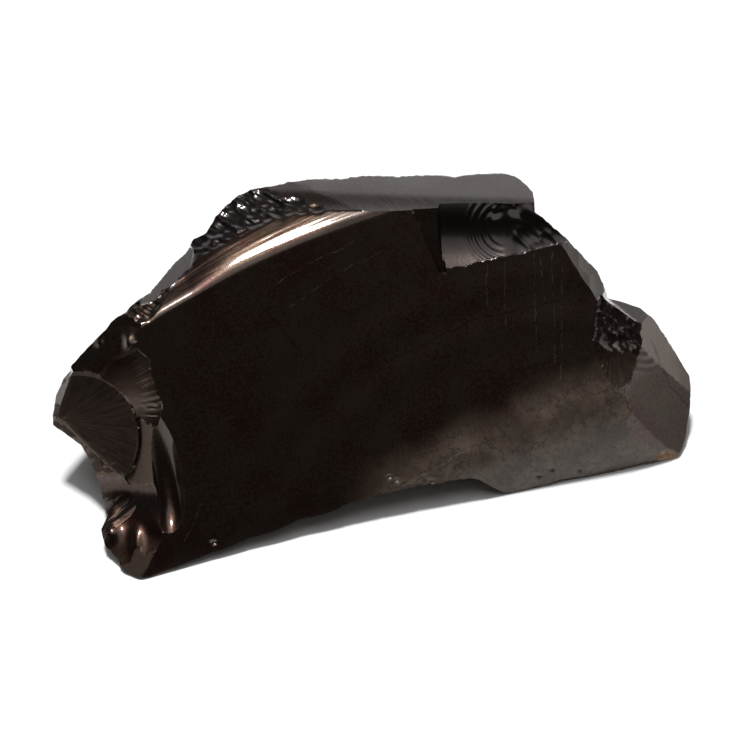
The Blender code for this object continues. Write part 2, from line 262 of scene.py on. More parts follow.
# %% Shoulder, scar and fan
def upper_left(r, u):
    """A dark shoulder that rounds over as it goes down, with soft lumps and two small glinting knobs."""
    h = facet(r, u, (-33.5, 4.2, 6.2), (0.56, -0.22), (0, -0.03))
    h = h + 0.12 * soft_noise(r / 1.7, u / 1.4, 21) + 0.04 * soft_noise(r / 0.6, u / 0.6, 22)
    h = h + 0.5 * swell(r, u, (-34.2, 4.7), (0.7, 1.2)) + 0.4 * swell(r, u, (-38.4, 4.5), (0.7, 0.7))
    h = h + 0.5 * (scallops(r / 1.0, u / 1.3, 26) - 0.3) * swell(r, u, (-30.6, 8.7), (1.6, 1.6))
    corners = [(-47.7, -3.6), (-47.5, 10.6), (-35.9, 12), (-31.1, 9.9), (-31.6, 7.4), (-33, 3.5)]
    return h, wall(outside(r, u, corners + [(-35.8, 1.8), (-39, -1.8), (-43.2, -3)]))


def far_left(r, u):
    """The slip of rim at the far left: a plane that rises 1.3 to the right."""
    h = facet(r, u, (-43.9, -1.4, -1.3), (1.3, -0.3))
    corners = [(-46.4, -7), (-45.7, -0.7), (-43.5, 1.3), (-42.8, 0.4), (-43.5, -2.8), (-44.3, -6)]
    return h, wall(outside(r, u, corners))


FAN_AT, FAN_REACH = (-41.6, -8.9), 8.8  # the curved step is an arc of this circle
FAN_BLOW, SCAR_BLOW = (-44.6, -6.3), (-42.9, -5.6)  # where the two blows fell


def crescent(r, u):
    """The scar behind the fan, steeper to the right, with a comb of short cracks along its edge."""
    dr, du = r + 32.8, u + 4.2
    h = 4.3 + 0.60 * dr + 0.30 * du - 0.025 * above_zero(du) ** 2 + 0.06 * above_zero(-du) ** 2
    h = h + 0.02 * dr**2 - 0.10 * above_zero(dr - 0.8) ** 2
    turn = np.arctan2(u - SCAR_BLOW[1], r - SCAR_BLOW[0])
    away = np.hypot(u - SCAR_BLOW[1], r - SCAR_BLOW[0])
    comb = soft_noise(turn * 60, away / 6, 24) * ease(away, 9.8, 11.8)
    inner = FAN_REACH - np.hypot(r - FAN_AT[0], u - FAN_AT[1])
    corners = [(-39.2, -1.8), (-35.8, 2.1), (-33, 3.3), (-31.3, 2.2), (-30.2, 0.4), (-29.6, -1.8)]
    corners = corners + [(-29.6, -4.6), (-30.2, -7.1), (-35.6, -6.3)]
    return h - 0.12 * np.abs(comb), wall(inner, outside(r, u, corners))


def fan(r, u):
    """A dished sheet struck from the far left, with fine rays, that ends at a curved step."""
    h = facet(r, u, (-44, -7, -1.0), (0.44, 0.03), (0.003, 0))
    dr, du = r - FAN_BLOW[0], u - FAN_BLOW[1]
    away = np.hypot(dr, du)
    rays = soft_noise(np.arctan2(du, dr) * 18, away / 5, 23) * ease(away, 3, 10)
    step = np.hypot(r - FAN_AT[0], u - FAN_AT[1]) - FAN_REACH
    return h + 0.018 * rays, wall(step, side(r, u, (-34, -15.6), (-44.6, -6.9)))


print("the fan's middle:", round(float(fan(*FAN_AT)[0]), 2), "mm")

# %% [markdown]
# Right of the fan a narrow slope runs down beside a long thin hollow. Below the fan a strip faces
# down and left. Under them all a dark hollow curves out into a knob, with one round bump at its
# side, and the knob ends in the matt tip that the stone stands on.

# %% Slopes, knob and tip
def long_slope(r, u):
    """A plane that rises 0.8 to the right, between the fan's step and the long hollow."""
    h = facet(r, u, (-33.2, -11.2, 3.3), (0.80, 0.02), (0.03, 0))
    inner = FAN_REACH - np.hypot(r - FAN_AT[0], u - FAN_AT[1])
    ends = np.maximum(side(r, u, (-33.9, -16.2), (-35.9, -12.2)), -16.1 - u)
    return h, wall(inner, side(r, u, (-35.6, -5.2), (-29.2, -7.1)), ends)


def lens(r, u):
    """A trough along the line a-b, deepest at 0.6 of its length: its sides rise as 0.5 d + 0.3 d^2."""
    a, b = (-29.7, -5.7), (-27.1, -19.3)
    length = (b[0] - a[0]) ** 2 + (b[1] - a[1]) ** 2
    along = ((r - a[0]) * (b[0] - a[0]) + (u - a[1]) * (b[1] - a[1])) / length
    off = side(r, u, a, b) + 1.0 * (along - 0.5) ** 2
    bed = 4.4 + 4.8 * (along - 0.6) ** 2 + 12 * above_zero(along - 0.9) ** 2
    return bed + 0.30 * off**2 + 0.50 * off, 0 * r


def low_left(r, u):
    """The strip below the fan, which rises 0.72 to the right and 0.32 upward."""
    h = facet(r, u, (-44, -7, -1.2), (0.72, 0.32))
    corners = [(-46.3, -5.6), (-43.3, -7.1), (-34, -15.7), (-33.8, -16), (-44.2, -15.7)]
    return h, wall(outside(r, u, corners))


def knob(r, u):
    """A hollow that curves up at its top, a body that rises toward the tip, and a round bump."""
    below = -side(r, u, (-38.5, -16.8), (-25.7, -19))
    up_there = above_zero(u + 17.4)
    h = facet(r, u, (-32.8, -17.9, 3.6), (0.76, -0.45)) + 0.26 * up_there**2
    body = facet(r, u, (-34.1, -21.6, 5.0), (0.30, -0.40))
    body = body + 0.5 * swell(r, u, (-33, -23), (0.8, 2.0))
    body = body + 0.3 * swell(r, u, (-29.5, -21.2), (1.2, 1.6))
    h = h + 1.2 * swell(r, u, (-36.8, -19), (1.5, 1.6))
    h = h + (body - h) * ease(below, 0.2, 4.4) + 0.9 * swell(r, u, (-36.8, -21.8), (1.2, 1.3))
    corners = [(-44.3, -10.5), (-31.4, -10.5), (-26.2, -17.1), (-25.7, -31.2), (-43.7, -31.2)]
    return h, wall(outside(r, u, corners))


def tip(r, u):
    """A small matt plane at the foot of the knob."""
    h = facet(r, u, (-32.1, -25.8, 7.15), (0.22, -0.22))
    corners = [(-35.1, -25.1), (-32.9, -23.9), (-30.8, -23.2), (-28.3, -25), (-28.3, -32.5)]
    corners = corners + [(-36.6, -32.5)]
    return h, wall(outside(r, u, corners))


def grey_chip(r, u):
    """A plain grey plane left of the torn lip, which faces up and left."""
    h = facet(r, u, (-28.6, 12, 3.1), (0.72, -1.30))
    corners = [(-33.1, 9.7), (-33.1, 14.8), (-26.9, 19), (-25.7, 17.3), (-25.9, 13.9), (-29.5, 10.5)]
    return h, wall(outside(r, u, corners))


print("the tip:", round(float(tip(-32.1, -25.8)[0]), 2), "mm")

# %% [markdown]
# ## The right end
#
# The right end falls away in a smooth grey facet that is turned toward the light around the stone,
# with ripples round the blow at its top. Past it are a steeper facet and a rough undercut edge. These
# three cross each other by themselves. The strip that runs down beside the broad face would not, so
# it has a wall.

# %% Right end
def right_end(r, u):
    """A dished facet, with ripples round the blow at its top."""
    h = facet(r, u, (36.1, -1.4, -4.3), (-0.98, -0.06), (0.012, 0.012))
    away = np.hypot(r - 38.7, u - 5.3)
    return h + 0.06 * np.sin(2 * np.pi * away / 1.15) * (1 - ease(away, 2.5, 5.5)), 0 * r


def right_tip(r, u):
    """A steeper dished facet at the far right."""
    return facet(r, u, (42.1, -0.4, -9.7), (-1.25, -0.45), (0.03, 0)), 0 * r


def right_under(r, u):
    """A rough undercut edge below the right end."""
    rough = 0.15 * (scallops(r / 1.4, u / 1.0, 35) - 0.4)
    return facet(r, u, (41.3, -9.4, -8.1), (-0.45, 0.40)) + rough, 0 * r


def right_slope(r, u):
    """The strip that runs down from the top beside the broad face, with long shallow scallops."""
    h = facet(r, u, (28.8, 14.3, -3.3), (-1.10, -0.70))
    h = h + 0.3 * (scallops(r / 1.8, u / 3.0, 36) - 0.4)
    return h, wall(outside(r, u, [(20.9, 26.6), (35.2, 26.6), (34.3, 9.1), (31.7, 7.6)]))


print("the right end 9 mm out:", round(float(right_end(45.1, -1.4)[0]), 2), "mm")

# %% [markdown]
# Between this strip and the right end the glass is crushed. It has shelves that lean one way, finer
# scallops on them that sparkle, and a dark hollow from which fine ribs spread downward. One more
# strip lies behind it.

# %% Crushed glass
HOLLOW = (33.8, 6.4)  # where the fine ribs start


def right_hackle(r, u):
    """Crushed glass: shelves that lean down to the right, finer scallops and a dark hollow."""
    h = facet(r, u, (32.1, 4.7, -4.0), (-0.45, -0.45))
    bend = 0.5 * soft_noise(r / 2.5, u / 2.5, 33)
    h = h + 0.6 * (scallops((r - 0.5 * u) / 3.2, (u + 0.6 * r) / 1.3 + bend, 31) - 0.4)
    h = h + 0.16 * scallops(r / 0.7, u / 0.6, 32) - 0.6 * swell(r, u, (33.8, 4.3), (1.6, 1.1))
    corners = [(30.6, 3.3), (32.4, 10.8), (38.2, 12.3), (45.4, 2.2), (36.5, 1.9)]
    return h, wall(outside(r, u, corners))


def right_fan(r, u):
    """Fine ribs that spread downward from the dark hollow, and fade out."""
    turn = np.arctan2(r - HOLLOW[0], HOLLOW[1] - u)
    h = facet(r, u, (33.8, 1.3, -4.0), (-0.40, -0.20), (0, 0.02))
    h = h - 0.12 * np.abs(soft_noise(turn * 9, u / 9, 34))
    corners = [(32.4, -1.9), (31, 1), (30.4, 5), (38.1, 5), (36.5, -0.7), (34.8, -2.1)]
    return h, wall(outside(r, u, corners))


def right_back(r, u):
    """The strip behind the crushed glass, which faces up and back."""
    h = facet(r, u, (38.2, 7.6, -8.4), (-0.55, -1.25))
    return h, wall(outside(r, u, [(33.7, 11), (34.8, 12.8), (47.1, 6.5), (43, 2.8)]))


print("the crushed glass at its hollow:", round(float(right_hackle(*HOLLOW)[0]), 2), "mm")

# %% [markdown]
# A bite is missing below the top. A small blow from the right left tight ripples in a trough, and
# the bite ends at a crisp ledge below and at a slanted step on its left.

# %% The bite, and all the flakes together
def scallop(r, u):
    """A trough du^2 / 17, ripples round the blow at its right, and two glassy bumps at its top."""
    dr, du = r - 18.5, u - 20.9
    away = np.hypot(dr, du)
    ripples = 0.07 * np.sin(2 * np.pi * away) * ease(away, 1.5, 3.0) * ease(-dr, -0.5, 1.5)
    h = -4.8 + dr**2 / 200 + du**2 / 17 - 0.10 * above_zero(dr) + ripples * (1 - ease(away, 5.4, 6.4))
    h = h + 0.5 * swell(r, u, (17.1, 23.1), (0.8, 0.7)) + 0.5 * swell(r, u, (19.8, 23.6), (0.8, 0.8))
    h = h + 0.35 * (scallops((r + u) / 1.6, (u - r) / 4.0, 37) - 0.3) * ease(dr, 0.5, 2.0)
    below = side(r, u, (24.4, 18.3), (9.4, 14.7)) + 0.25 * soft_noise(r / 1.6, 0 * r, 38)
    return h, wall(below, side(r, u, (9.6, 14.6), (9.2, 24.8)))


def scallop_left(r, u):
    """The step at the bite's left: a plane nearly level with the broad face, and a little below it."""
    h = facet(r, u, (8.8, 16, -3.0), (-0.15, 0.05))
    corners = [(9.4, 14.6), (5, 23.7), (4.3, 26.2), (9.5, 26.2), (9.9, 14.5)]
    return h, wall(outside(r, u, corners))


FRONT = [
    main_face, top_trough, upper_left, far_left, crescent, fan, long_slope, lens, low_left, knob, tip,
    grey_chip, right_end, right_tip, right_under, right_slope, right_hackle, right_fan, right_back,
    scallop, scallop_left,
]


def heights(r, u):
    """One row for each flake: its sheet plus its wall."""
    return np.array([sum(flake(r, u)) for flake in FRONT])


def face(r, u):
    """The face's height, and a label: twice the number of the lowest flake, plus one on its wall."""
    sheets, walls = (np.array(part) for part in zip(*[flake(r, u) for flake in FRONT]))
    lowest = (sheets + walls).argmin(axis=0)[None]
    on_wall = np.take_along_axis(walls, lowest, 0)[0] > 0
    return np.take_along_axis(sheets + walls, lowest, 0)[0], 2 * lowest[0] + on_wall


print(len(FRONT), "front fractures; at the middle", round(float(heights(0.0, 0.0).min()), 2), "mm")

# %% [markdown]
# ## The broken outline
#
# The rim is an uneven line. Measured from a hub near its middle it has one distance for each
# direction, so a table of corners, read by angle, gives the whole outline. A curve object could
# carry the same corners, but a formula can say at once how far outside the rim any point is. Behind
# the rim the wall curves in slowly, and its small notches die out, because a notch in a sharp edge
# is only as deep as the chip that made it.

# %% Outline and rim wall
HUB = (-0.7, 2.1)
OUTLINE = [
    (-17.8, 26.5), (-15, 27), (-12.2, 27.7), (-5, 28.2), (-1, 28.8), (3.6, 28.6),
    (11.6, 28.6), (15.2, 29.2), (18.2, 29.3), (20.3, 28.9), (21.6, 27.7), (22.6, 26.1),
    (22.8, 23.2), (24.6, 21.8), (26.7, 20), (28.6, 18.1), (31.8, 14.7), (32.7, 12.9),
    (33.4, 11), (36.1, 10.4), (38.3, 9.7), (40.4, 7.9), (42, 5.8), (44.3, 2.2),
    (45.8, 0), (45.9, -2.2), (45.7, -5.1), (44.8, -9.4), (44.1, -11.1), (41.9, -12.8),
    (38.8, -12.7), (35.9, -13.5), (32.3, -14.8), (28.6, -14.6), (26.4, -15), (24.3, -15.7),
    (20.7, -16.5), (18.5, -16.8), (16.6, -15.9), (14.9, -14.9), (13.4, -14.6), (10.6, -14.8),
    (8.5, -15.5), (6.3, -15.4), (3.5, -16.2), (0.7, -16.7), (-3.5, -17.9), (-10.5, -20.1),
    (-17.4, -22.7), (-22.9, -24.7), (-29, -27), (-31.1, -27.8), (-32.7, -27.9), (-34.6, -27),
    (-35.6, -25.6), (-37.5, -23.6), (-38.1, -21.5), (-37.3, -19.6), (-38.3, -17.6), (-38.9, -14.8),
    (-40, -11.9), (-41.5, -9.8), (-43.7, -8.2), (-45.5, -7.1), (-45.6, -5.6), (-45.1, -2.8),
    (-43.9, -0.4), (-42, 1.8), (-39.8, 4.2), (-37.6, 6.3), (-36.2, 7.9), (-34.7, 8.7),
    (-33.5, 10.2), (-31.4, 11.6), (-30.1, 13.3), (-28.1, 15.9), (-26.4, 17.6), (-25.7, 19.3),
    (-23.9, 20.1), (-22.6, 22.6), (-21.2, 24.1), (-19.6, 25.6),
]


def rim_tables():
    """Angle round the hub, distance from it and face height, for each corner, in order of angle."""
    r, u = np.array(OUTLINE).T
    turn = np.arctan2(u - HUB[1], r - HUB[0])
    order = np.argsort(turn)
    r, u, turn = r[order], u[order], turn[order]
    return turn, np.hypot(r - HUB[0], u - HUB[1]), heights(r, u).min(axis=0), np.array([r, u])


TURN, AWAY, RIM_OUT, RIM_AT = rim_tables()
EVEN = np.linspace(-np.pi, np.pi, 240, endpoint=False)
EVEN_AWAY = np.interp(EVEN, TURN, AWAY, period=2 * np.pi)
SMOOTH_AWAY = np.mean([np.roll(EVEN_AWAY, shift) for shift in range(-9, 10)], axis=0)


def rim_wall(r, u, o):
    """Distance from the hub, less the outline's, plus 0.02 times the squared depth behind the rim."""
    turn = np.arctan2(u - HUB[1], r - HUB[0])
    away = np.interp(turn, TURN, AWAY, period=2 * np.pi)
    smooth = np.interp(turn, EVEN, SMOOTH_AWAY, period=2 * np.pi)
    out = np.interp(turn, TURN, RIM_OUT, period=2 * np.pi)
    away = away + (np.minimum(smooth, away + 0.6) - away) * np.clip((out - o) / 5, 0, 1)
    chips = 0.10 * soft_noise(turn * 40, o / 1.5, 41) + 0.06 * soft_noise(turn * 110, o / 0.8, 42)
    away = away + chips * (1 - swell(r, u, (-38.1, -18.6), (4, 4)))
    return np.hypot(r - HUB[0], u - HUB[1]) - away + 0.020 * (o - out) ** 2


print(len(OUTLINE), "corners, from", AWAY.min().round(1), "to", AWAY.max().round(1), "mm from the hub")

# %% [markdown]
# ## The back
#
# Nobody looks at the back first, but the stone is turned over in the hand. It gets ten broad dished
# flakes with faint rings of their own. Each one is written by the way it faces, its deepest point and
# the radius of its dish, and is then set just far enough out to clear the rim and the heel that the
# stone rests on.

# %% Back flakes
BACK_FLAKES = [
    ((-0.20, 0.93, 0.28), (-2, 27, 17), 90),
    ((-0.74, 0.58, 0.34), (-35, 10, 17), 80),
    ((-0.85, 0.10, -0.50), (-43, -2, 4), 60),
    ((-0.52, 0.84, -0.10), (-24, 20, 9), 90),
    ((-0.42, 0.78, 0.48), (-22, 20, 24), 90),
    ((0.52, 0.70, 0.50), (29, 20, 22), 80),
    ((0.72, 0.66, 0.22), (40, 14, 10), 80),
    ((0.86, 0.20, -0.46), (45, 4, 3), 60),
    ((0.22, 0.97, -0.06), (14, 29, 10), 90),
    ((-0.95, -0.20, -0.22), (-38, -14, 4), 60),
]
# Where the heel meets the floor: right and back, in mm.
HEELS = [(-36, 1), (-27, 14), (-8, 26), (14, 28), (30, 22), (40, 10)]


def dished(points, facing, deepest, radius):
    """n . d - (d . d - (n . d)^2) / 2R, with d measured from the deepest point."""
    facing = np.array(facing) / np.linalg.norm(facing)
    gap = points - np.array(deepest, float)[:, None]
    out = facing @ gap
    return out - ((gap**2).sum(axis=0) - out**2) / (2 * radius)


def back_levels():
    """How far out each flake has to stand so that the rim and the heel stay inside it."""
    rim_points = upright(np.array([*RIM_AT, RIM_OUT]))
    heels = np.array([(x, y, 0.0) for x, y in HEELS]).T
    kept = np.concatenate([rim_points, heels], axis=1)
    return [dished(kept, *flake).max() for flake in BACK_FLAKES]


LEVELS = back_levels()


def back_rings(points, flake):
    """Rings round a point of impact well below each flake's middle: 0.05 sin(2 pi d / 3.2)."""
    away = np.linalg.norm(points - (np.array(flake[1], float) - [6, 0, 22])[:, None], axis=0)
    return 0.05 * np.sin(2 * np.pi * away / 3.2 + flake[2]) * (0.5 + 0.5 * np.sin(away / 5))


def beyond(points):
    """One row for each fracture: how far each point (face frame) is outside it."""
    r, u, o = points
    whole = upright(points)
    back = [dished(whole, *f) - level + back_rings(whole, f) for f, level in zip(BACK_FLAKES, LEVELS)]
    return np.concatenate([o - heights(r, u), [rim_wall(r, u, o)], back, [-whole[2]]])


print("flakes stand out by", np.round(LEVELS, 1), "mm")

# %% [markdown]
# ## From formulas to a skin
#
# Blender's Remesh could turn such a shape into a mesh, but it would round every edge to the size of
# its cells. So the skin is a block of grid cells draped over the stone, whose corners can later
# move onto the ridges. Its front follows the face, its sides run back and its back is coarse, since
# nothing there is small. On the front, cells are 0.4 mm wide where the surface is calm and 0.2 mm
# wide where it bends, breaks or reaches the rim.

# %% The block's grid
ACROSS = np.linspace(-48, 48, 481)
UP = np.linspace(-31.2, 31.2, 313)
DEPTH = np.linspace(0, 1, 25) ** 1.5
BACK_OUT = -38.0  # the block's back, behind the stone
LOWEST, HIGHEST = -16, 9  # the face's height stays between these, also outside the stone


def label_at(r, u):
    """The face's label inside the outline, and -1 outside it."""
    h, label = face(r, u)
    return np.where(rim_wall(r, u, h) > 0, -1, label)


def spread(busy):
    """Marks every cell beside a marked one as well."""
    wide = np.pad(busy, 1)
    return wide[:-2, 1:-1] | wide[2:, 1:-1] | wide[1:-1, :-2] | wide[1:-1, 2:] | busy


def busy_cells(most_bend):
    """The 0.4 mm cells where the label changes, or the height bends by more than `most_bend` mm."""
    r, u = np.meshgrid(ACROSS[::2], UP[::2], indexing="ij")
    h, label = face(r, u)
    label = np.where(rim_wall(r, u, h) > 0, -1, label)
    bend = np.zeros_like(h)
    bend[1:-1] = np.abs(h[2:] - 2 * h[1:-1] + h[:-2])
    bend[:, 1:-1] = np.maximum(bend[:, 1:-1], np.abs(h[:, 2:] - 2 * h[:, 1:-1] + h[:, :-2]))
    bend[label < 0] = 0
    labels, bends = (np.array([x[a:a - 1 or None, b:b - 1 or None] for a in (0, 1) for b in (0, 1)])
                     for x in (label, bend))
    return (labels.min(axis=0) != labels.max(axis=0)) | (bends.max(axis=0) > most_bend)


BUSY = spread(busy_cells(0.03))
print("busy cells:", BUSY.sum(), "of", BUSY.size)

# %% [markdown]
# Every corner that some cell uses gets a number and an aim, which is where it starts from. A block
# corner is known by its three grid numbers, so the front, the sides and the back share the corners
# where they meet.

# %% Corners and aims
def block_corners():
    """Numbers, aims and depth rows of the block's corners: those that a fine or a wide cell uses."""
    i, j, k = np.meshgrid(range(len(ACROSS)), range(len(UP)), range(len(DEPTH)), indexing="ij")
    last = (len(ACROSS) - 1, len(UP) - 1, len(DEPTH) - 1)
    even = (i % 2 == 0) & (j % 2 == 0)
    border = (i == 0) | (i == last[0]) | (j == 0) | (j == last[1])
    fine = np.zeros((len(ACROSS), len(UP)), bool)
    for a in (0, 1, 2):
        for b in (0, 1, 2):
            fine[a:last[0] - 1 + a:2, b:last[1] - 1 + b:2] |= BUSY
    keep = even & ((k == 0) | border | ((k == last[2]) & (i % 4 == 0) & (j % 4 == 0)))
    keep[:, :, 0] |= fine
    i, j, k = i[keep], j[keep], k[keep]
    number = np.full(keep.shape, -1)
    number[keep] = np.arange(len(i))
    r, u = ACROSS[i], UP[j]
    front = np.clip(face(r, u)[0], LOWEST, HIGHEST)
    return number, np.array([r, u, front + (BACK_OUT - front) * DEPTH[k]]), k


NUMBER, AIMS, ROW = block_corners()


def quads_of(grid):
    """Four corners for each cell of a sheet of corner numbers."""
    return np.stack([grid[:-1, :-1], grid[1:, :-1], grid[1:, 1:], grid[:-1, 1:]], axis=-1)


def wide_cells(grid):
    """Cells two steps wide with the eight corners round each, where -1 marks one that isn't there."""
    c = [grid[a:len(grid) - 2 + a:2, b:grid.shape[1] - 2 + b:2] for a, b in
         ((0, 0), (1, 0), (2, 0), (2, 1), (2, 2), (1, 2), (0, 2), (0, 1))]
    rings = np.stack(c, axis=-1)
    return rings, (rings >= 0).sum(axis=-1) == 4


def block_cells():
    """All quads as one array, and the cells with five to eight corners as a list."""
    front, back = NUMBER[:, :, 0], NUMBER[::2, ::2, -1][:, ::-1]
    fine = quads_of(front)[np.kron(BUSY, np.ones((2, 2), bool))]
    quads, others = [fine], []
    for grid, wanted in ((front, ~BUSY), (back, True)):
        rings, plain = wide_cells(grid)
        quads.append(rings[plain & wanted][:, ::2])
        others += [[c for c in ring if c >= 0] for ring in rings[~plain & wanted].tolist()]
    sides = [NUMBER[0, ::2, :], NUMBER[-1, ::2, :][:, ::-1],
             NUMBER[::2, 0, :][:, ::-1], NUMBER[::2, -1, :]]
    return np.concatenate(quads + [quads_of(grid).reshape(-1, 4) for grid in sides]), others


QUADS, OTHERS = block_cells()
print(AIMS.shape[1], "corners,", len(QUADS), "quads,", len(OTHERS), "other cells")

# %% [markdown]
# A ridge rarely runs along grid lines, and a grid that ignores it looks like a saw. So wherever an
# edge of the grid has a different label at each end, halving finds the place of change, and the
# nearer end moves onto it.

# %% Snap the face's corners to its ridges
def edges_of(quads):
    """Each side and each diagonal of the quads once, as two rows of corner numbers."""
    pairs = np.concatenate([quads[:, [0, 1]], quads[:, [1, 2]], quads[:, [2, 3]], quads[:, [3, 0]],
                            quads[:, [0, 2]], quads[:, [1, 3]]])
    return np.unique(np.sort(pairs, axis=1), axis=0).T


def move_nearer_ends(aims, pairs, part):
    """Moves the end nearer to each crossing onto it; the nearest crossing wins."""
    nearer = np.where(part <= 0.5, pairs, pairs[::-1])
    part = np.minimum(part, 1 - part)
    order = np.argsort(-part)
    (near, other), part = nearer[:, order], part[order]
    moved = aims.copy()
    moved[:, near] = aims[:, near] + (aims[:, other] - aims[:, near]) * part
    return moved


def snap_face(aims, pairs):
    """Halves each edge nine times to find where its label changes, and moves the nearer end there."""
    label = label_at(aims[0], aims[1])
    a, b = pairs[:, label[pairs[0]] != label[pairs[1]]]
    low, high = np.zeros(len(a)), np.ones(len(a))
    for _ in range(9):
        middle = (low + high) / 2
        r, u = aims[:2, a] + (aims[:2, b] - aims[:2, a]) * middle
        same = label_at(r, u) == label[a]
        low, high = np.where(same, middle, low), np.where(same, high, middle)
    moved = move_nearer_ends(aims, np.array([a, b]), (low + high) / 2)
    moved[2] = np.clip(face(moved[0], moved[1])[0], LOWEST, HIGHEST)
    return moved


EDGES = edges_of(QUADS)
on_face = (ROW[EDGES] == 0).all(axis=0)
FACE_AIMS = snap_face(AIMS, EDGES[:, on_face])
shift = np.abs(FACE_AIMS - AIMS)[:2, ROW == 0].max(axis=0)
print((shift > 0).sum(), "corners of the face moved, by up to", shift.max().round(2), "mm")
AIMS = np.where(ROW == 0, FACE_AIMS, AIMS)

# %% [markdown]
# Inside the outline the aims now lie on the stone. All other corners slide toward the heart of the
# stone until they are inside every fracture. Twelve trial places near the aim come first, so that a
# corner beyond a hollow stops at the near side of it. Halving what is left 20 times finds the place
# to a thousandth of a millimetre. The ridges between the back flakes are then snapped as before,
# along straight lines between the depths.

# %% Slide the rest onto the stone
def out_to_surface(aims):
    """Finds the outermost crossing between the heart and each aim: a few trials, then halving."""
    heart, way = HEART[:, None], aims - HEART[:, None]
    near, far = np.zeros(aims.shape[1]), np.full(aims.shape[1], 0.78)
    for trial in np.linspace(0.78, 1.0, 12):
        inside = beyond(heart + way * trial).max(axis=0) <= 0
        near, far = np.where(inside, trial, near), np.where(inside, trial + 0.02, far)
    far[near == 1.0] = 1.6
    for _ in range(20):
        middle = (near + far) / 2
        free = beyond(heart + way * middle).max(axis=0) > 0
        far, near = np.where(free, middle, far), np.where(free, near, middle)
    return heart + way * near


def snap_back(aims, rows, pairs):
    """Where an edge's ends lie on different fractures, the nearer end moves to where the two meet."""
    which = rows.argmax(axis=0)
    a, b = pairs[:, which[pairs[0]] != which[pairs[1]]]
    drop_a = rows[which[a], a] - rows[which[b], a]
    drop_b = rows[which[b], b] - rows[which[a], b]
    return move_nearer_ends(aims, np.array([a, b]), drop_a / (drop_a + drop_b + 1e-9))


loose = (ROW > 0) | (rim_wall(*AIMS) > 0)
skin = AIMS.copy()
skin[:, loose] = out_to_surface(AIMS[:, loose])
rows = beyond(skin)
back_aims = snap_back(AIMS, rows, EDGES[:, loose[EDGES].all(axis=0)])
moved = np.abs(back_aims - AIMS).max(axis=0) > 0
AIMS = back_aims
skin[:, moved] = out_to_surface(AIMS[:, moved])
print(loose.sum(), "corners slid,", moved.sum(), "of them snapped")

# %% [markdown]
# Cells that a ridge crosses are cut into two triangles, along whichever diagonal lies nearer to the
# surface over the middle of the cell. All the others stay whole.

# %% Cut the ridge cells and make the mesh
def best_cut(points, quads):
    """Two triangles for each quad, cut along the diagonal whose middle is nearer to the surface."""
    a, b, c, d = (points[:, quads[:, n]] for n in range(4))
    true_middle = out_to_surface(points[:, quads].mean(axis=2))
    first = np.linalg.norm((a + c) / 2 - true_middle, axis=0)
    second = np.linalg.norm((b + d) / 2 - true_middle, axis=0)
    one = np.where((first <= second)[:, None], quads[:, [0, 1, 2]], quads[:, [0, 1, 3]])
    two = np.where((first <= second)[:, None], quads[:, [0, 2, 3]], quads[:, [1, 2, 3]])
    return np.concatenate([one, two])


which = beyond(skin).argmax(axis=0)
crossed = which[QUADS].min(axis=1) != which[QUADS].max(axis=1)
triangles = best_cut(skin, QUADS[crossed])
places = (upright(skin) - MIDDLE[:, None]).T * MM
mesh = bpy.data.meshes.new("stone_skin")
mesh.from_pydata(places, [], triangles.tolist() + QUADS[~crossed].tolist() + OTHERS)
mesh.update()
mesh.shade_smooth()
mesh.set_sharp_from_angle(angle=np.radians(30))
stone = bpy.data.objects.new("stone_skin", mesh)
bpy.context.scene.collection.objects.link(stone)
print(len(mesh.vertices), "corners,", sum(len(p.vertices) - 2 for p in mesh.polygons), "triangles")

# %% [markdown]
# ## Where each finish goes
#
# The finish follows the fractures: glassy on the broad face, satin with a thin brown film toward
# the lower right, crushed and sparkling in the torn places, duller on the small flakes, and one
# rusty patch under the right tip. The dark colour of the torn places is also painted shade: in the
# knob's hollow, in the bite, on the top's front shelf and at both ends of the lip, where it dims the
# lamp's line. Each of these is a number between 0 and 1 at every corner, kept in the mesh as an
# attribute for the material. They could be painted by hand, but numbers that are worked out from
# the flakes stop exactly at the ridges, and stay there if a shape changes.

# %% Masks at every corner
names = [surface.__name__ for surface in FRONT]


def on(which, *wanted):
    """1 at corners on any of the wanted flakes, and 0 elsewhere."""
    return np.isin(which, [names.index(name) for name in wanted]).astype(float)


